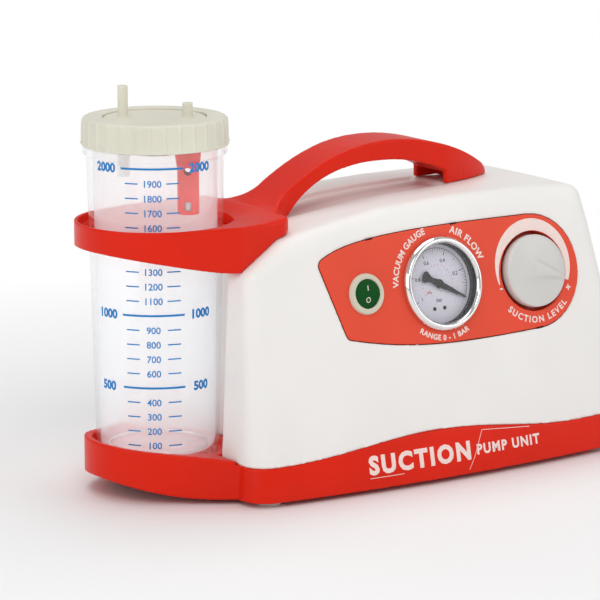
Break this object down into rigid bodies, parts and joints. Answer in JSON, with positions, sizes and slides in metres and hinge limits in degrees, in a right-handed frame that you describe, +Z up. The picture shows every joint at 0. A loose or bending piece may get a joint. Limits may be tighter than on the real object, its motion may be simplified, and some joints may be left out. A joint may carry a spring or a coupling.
{
  "type": "suction pump",
  "caption": "Portable suction pump: tapered housing on a wavy base tray, arched carry handle growing into a jar ring, graduated lidded jar, gauge, rocker and dial on a sloped panel",
  "frame": {"origin": "centre of the footprint, at floor level", "axes": "+X along the body away from the jar, -Y the side with the control panel, +Z up"},
  "size_m": [0.352, 0.18, 0.239],
  "materials": {
    "housing_white": "fine satin moulding",
    "signal_red": "satin moulding",
    "panel_red": "satin printed panel",
    "plate_grey": "satin",
    "foot_rubber": "translucent soft rubber",
    "black_rubber": "matt",
    "steel": "turned",
    "jar_clear": "clear moulded polycarbonate",
    "lid_ivory": "satin moulding",
    "tube_clear": "clear",
    "cage_red": "moulded",
    "float_white": "moulded",
    "seal_grey": "matt",
    "gauge_black": "semi-gloss",
    "gauge_chrome": "polished",
    "gauge_glass": "clear",
    "dial_white": "matt white print",
    "pointer_black": "matt black",
    "brass": "turned",
    "bezel_beige": "satin",
    "rocker_green": "translucent tinted",
    "knob_grey": "satin moulding",
    "motor_steel": "zinc plated",
    "magnet_grey": "ferrite",
    "winding_copper": "varnished laminations",
    "cast_alloy": "cast",
    "seal_tan": "filled PTFE",
    "battery_case": "moulded case",
    "board_green": "solder mask",
    "hose_clear": "soft hose",
    "wire_red": "insulated wire"
  },
  "bodies": {
    "main_body": {"base_tray": "signal_red", "housing": "housing_white", "carry_handle": "signal_red", "control_panel": "panel_red", "rear_plate": "plate_grey", "rubber_feet": "foot_rubber", "base_screws": "steel", "gauge_case": "gauge_black", "gauge_bezel": "gauge_chrome", "gauge_lens": "gauge_glass", "gauge_dial": "dial_white", "gauge_bourdon_tube": "brass", "gauge_stem": "brass", "switch_body": "bezel_beige", "switch_terminals": "brass", "regulator_body": "brass", "regulator_nut": "steel", "motor_can": "motor_steel", "motor_end_cap": "plate_grey", "motor_magnets": "magnet_grey", "crankcase": "cast_alloy", "crankcase_cover": "cast_alloy", "cylinder_sleeve": "cast_alloy", "cylinder_head": "cast_alloy", "valve_flaps": "seal_tan", "head_screws": "steel", "pump_bracket": "motor_steel", "vibration_mounts": "black_rubber", "battery": "battery_case", "battery_strap": "motor_steel", "circuit_board": "board_green", "board_parts": "plate_grey", "dc_socket": "plate_grey", "fuse_holder": "plate_grey", "inlet_port": "lid_ivory", "inlet_hose": "hose_clear", "exhaust_silencer": "seal_grey", "wiring_loom": "wire_red"},
    "jar": {"collection_jar": "jar_clear"},
    "lid": {"lid_disc": "lid_ivory", "lid_gasket": "seal_grey", "patient_drop_tube": "tube_clear", "float_cage": "cage_red"},
    "lid_ring_body": {"lid_ring": "lid_ivory"},
    "float": {"overflow_float": "float_white", "float_seal": "seal_grey"},
    "pointer": {"gauge_pointer": "pointer_black"},
    "rocker": {"switch_rocker": "rocker_green"},
    "knob": {"suction_knob": "knob_grey", "regulator_spindle": "steel"},
    "rotor": {"motor_shaft": "steel", "motor_armature": "winding_copper", "motor_fan": "plate_grey", "crank_disc": "steel"},
    "rod": {"connecting_rod": "cast_alloy", "piston_seal": "seal_tan"},
    "fuse_carrier": {"fuse_cap": "plate_grey"}
  },
  "joints": [
    {"name": "jar_lift", "type": "slide", "parent": "main_body", "child": "jar", "axis": [0, 0, 1], "range_m": [0, 0.165]},
    {"name": "lid_lift", "type": "slide", "parent": "jar", "child": "lid", "axis": [0, 0, 1], "range_m": [0, 0.08]},
    {"name": "lid_ring_turn", "type": "hinge", "parent": "lid", "child": "lid_ring_body", "pos_m": [-0.1285, 0, 0.213], "axis": [0, 0, 1], "range_deg": [0, 90]},
    {"name": "float_rise", "type": "slide", "parent": "lid", "child": "float", "axis": [0, 0, 1], "range_m": [0, 0.0193]},
    {"name": "rocker_tilt", "type": "hinge", "parent": "main_body", "child": "rocker", "pos_m": [-0.026, -0.06675, 0.11537], "axis": [1, 0, 0], "range_deg": [-16, 0]},
    {"name": "knob_turn", "type": "hinge", "parent": "main_body", "child": "knob", "pos_m": [0.098, -0.06499, 0.115], "axis": [0, -0.9781, 0.2079], "range_deg": [0, 215]},
    {"name": "pointer_swing", "type": "hinge", "parent": "main_body", "child": "pointer", "pos_m": [0.029, -0.06499, 0.115], "axis": [0, -0.9781, 0.2079], "range_deg": [0, 240]},
    {"name": "rotor_spin", "type": "hinge", "parent": "main_body", "child": "rotor", "pos_m": [0.05, 0.022, 0.048], "axis": [1, 0, 0], "continuous": true},
    {"name": "rod_pivot", "type": "hinge", "parent": "rotor", "child": "rod", "pos_m": [-0.001, 0.0245, 0.048], "axis": [1, 0, 0], "continuous": true},
    {"name": "fuse_cap_pull", "type": "slide", "parent": "main_body", "child": "fuse_carrier", "axis": [0, 0.9781, 0.2079], "range_m": [0, 0.03]}
  ],
  "couplings": [
    {"joint": "rod_pivot", "follows": "rotor_spin", "ratio": -1}
  ]
}
